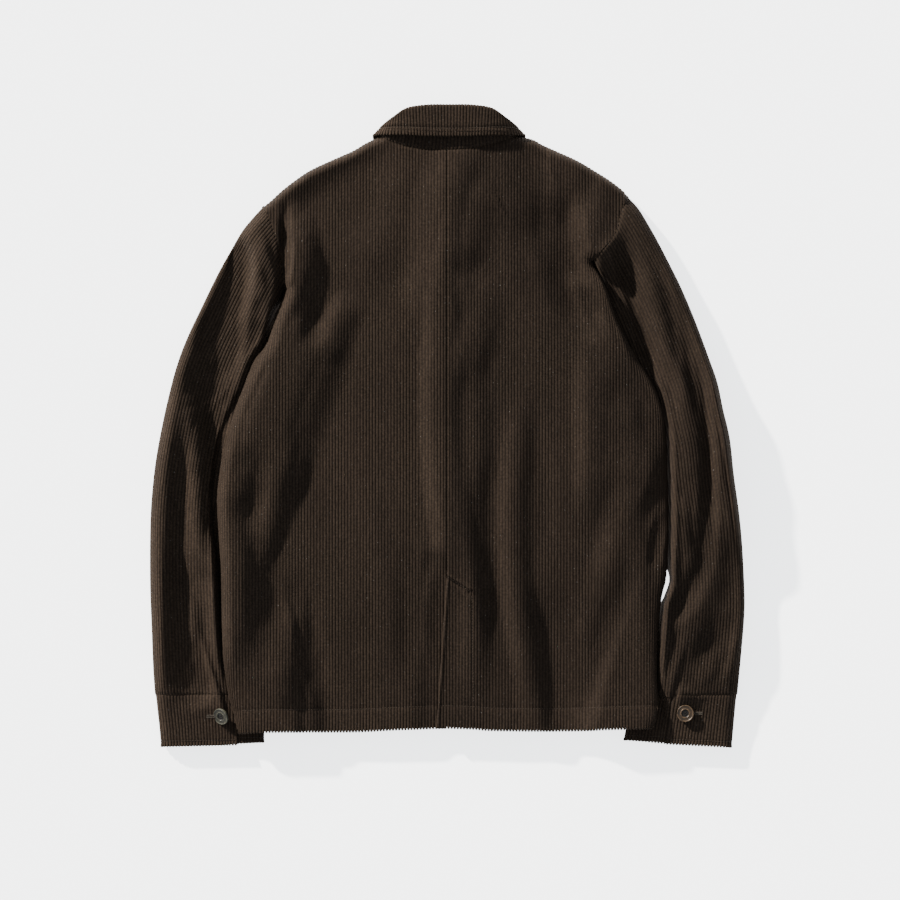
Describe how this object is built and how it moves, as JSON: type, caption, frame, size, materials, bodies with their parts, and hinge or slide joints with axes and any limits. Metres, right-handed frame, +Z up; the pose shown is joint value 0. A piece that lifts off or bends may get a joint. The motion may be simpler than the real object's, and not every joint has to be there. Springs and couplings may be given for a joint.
{
  "type": "corduroy jacket",
  "caption": "Dark brown wide-wale corduroy jacket lying flat on its front, back side up, with a folded collar, buttoned band cuffs and a centre back vent.",
  "frame": {"origin": "middle of the outline seen from above, on the surface the jacket lies on", "axes": "+Y towards the collar, +X towards the wearer's right sleeve, +Z up out of the back"},
  "size_m": [0.7146, 0.77, 0.0486],
  "materials": {
    "corduroy": "wide-wale cotton pile, matt with a soft sheen",
    "button": "horn-coloured, satin"
  },
  "bodies": {
    "root": {"back_left": "corduroy", "back_right": "corduroy", "front_left": "corduroy", "front_right": "corduroy", "collar_stand": "corduroy", "collar_stand_left": "corduroy", "collar_stand_right": "corduroy", "collar_fall": "corduroy", "sleeve_left": "corduroy", "sleeve_right": "corduroy", "cuff_left": "corduroy", "cuff_right": "corduroy", "cuff_button_left": "button", "cuff_button_right": "button", "front_button_1": "button", "front_button_2": "button", "front_button_3": "button", "front_button_4": "button", "front_button_5": "button"}
  },
  "joints": []
}
